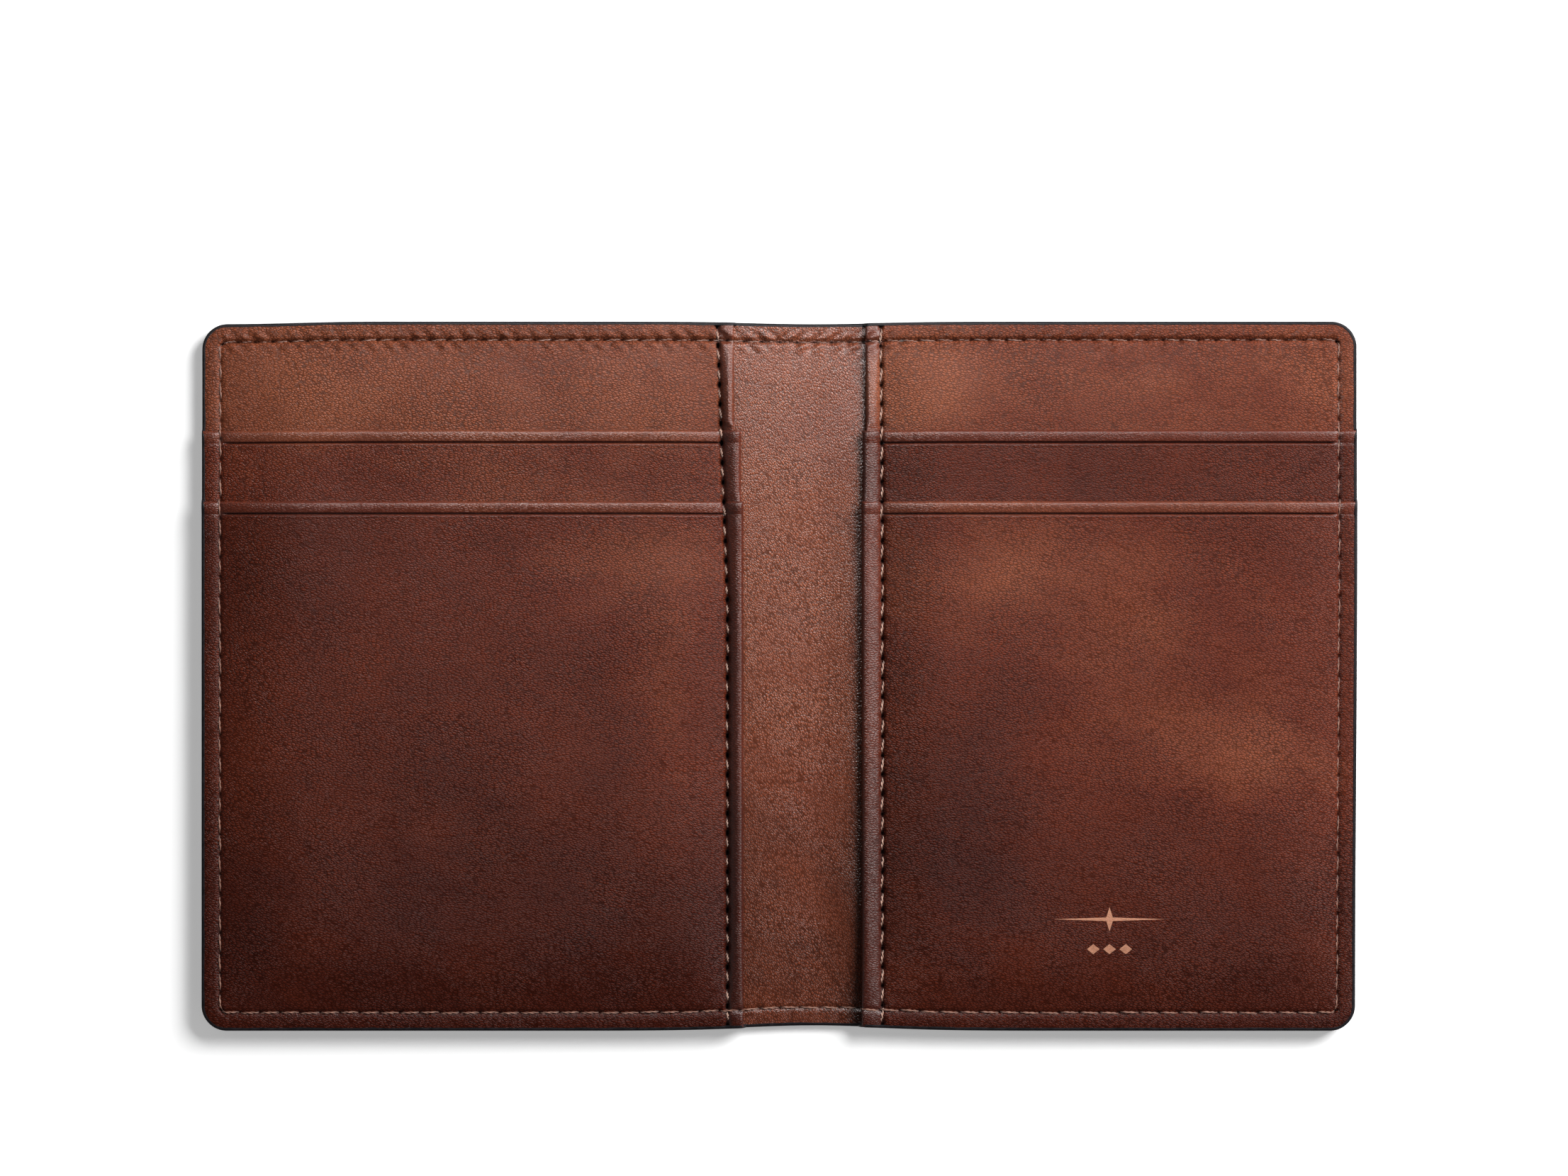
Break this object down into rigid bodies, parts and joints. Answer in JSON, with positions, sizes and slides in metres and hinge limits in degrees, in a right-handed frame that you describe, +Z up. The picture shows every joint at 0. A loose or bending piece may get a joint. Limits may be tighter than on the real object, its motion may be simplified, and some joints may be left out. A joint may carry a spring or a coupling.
{
  "type": "passport holder wallet",
  "caption": "Bifold leather passport wallet lying open, with layered card pockets and a slip pocket in each half, sewn all round and hinged along its spine.",
  "frame": {"origin": "centre of the open wallet's footprint, on its underside, in the middle of the spine", "axes": "+X across the halves towards the right-hand half, +Y up the page, +Z up from the table out of the inner face"},
  "size_m": [0.228, 0.14, 0.0049],
  "materials": {
    "cover_leather": "semi-gloss brown calf, fine grain",
    "gutter_leather": "pebbled lining leather, lighter brown",
    "pocket_leather": "semi-gloss hand-stained brown calf, fine grain",
    "board": "matt bonded fibre board",
    "lining_fabric": "plain woven lining",
    "edge_paint": "satin edge paint, near black",
    "thread": "twisted waxed tan thread",
    "foil": "rose gold foil stamping"
  },
  "bodies": {
    "left_half": {"cover_left": "cover_leather", "gutter_lining_left": "gutter_leather", "stiffener_left": "board", "slip_pocket_lining_left": "lining_fabric", "panel_left": "pocket_leather", "upper_pocket_left": "pocket_leather", "pocket_divider_left": "lining_fabric", "lower_pocket_left": "pocket_leather", "edge_paint_left": "edge_paint", "perimeter_thread_left": "thread", "inner_thread_left": "thread"},
    "spine": {"cover_spine": "cover_leather", "gutter_lining_spine": "gutter_leather", "edge_paint_spine_top": "edge_paint", "edge_paint_spine_bottom": "edge_paint", "spine_thread_top": "thread", "spine_thread_bottom": "thread"},
    "right_half": {"cover_right": "cover_leather", "gutter_lining_right": "gutter_leather", "stiffener_right": "board", "slip_pocket_lining_right": "lining_fabric", "panel_right": "pocket_leather", "upper_pocket_right": "pocket_leather", "pocket_divider_right": "lining_fabric", "lower_pocket_right": "pocket_leather", "edge_paint_right": "edge_paint", "perimeter_thread_right": "thread", "inner_thread_right": "thread", "foil_star": "foil", "foil_lozenges": "foil"}
  },
  "joints": [
    {"name": "left_fold", "type": "hinge", "parent": "left_half", "child": "spine", "pos_m": [-0.0045, 0, 0.0015], "axis": [0, -1, 0], "range_deg": [0, 90]},
    {"name": "right_fold", "type": "hinge", "parent": "spine", "child": "right_half", "pos_m": [0.0045, 0, 0.0015], "axis": [0, -1, 0], "range_deg": [0, 90]}
  ],
  "couplings": [
    {"joint": "left_fold", "follows": "right_fold", "ratio": 1}
  ]
}
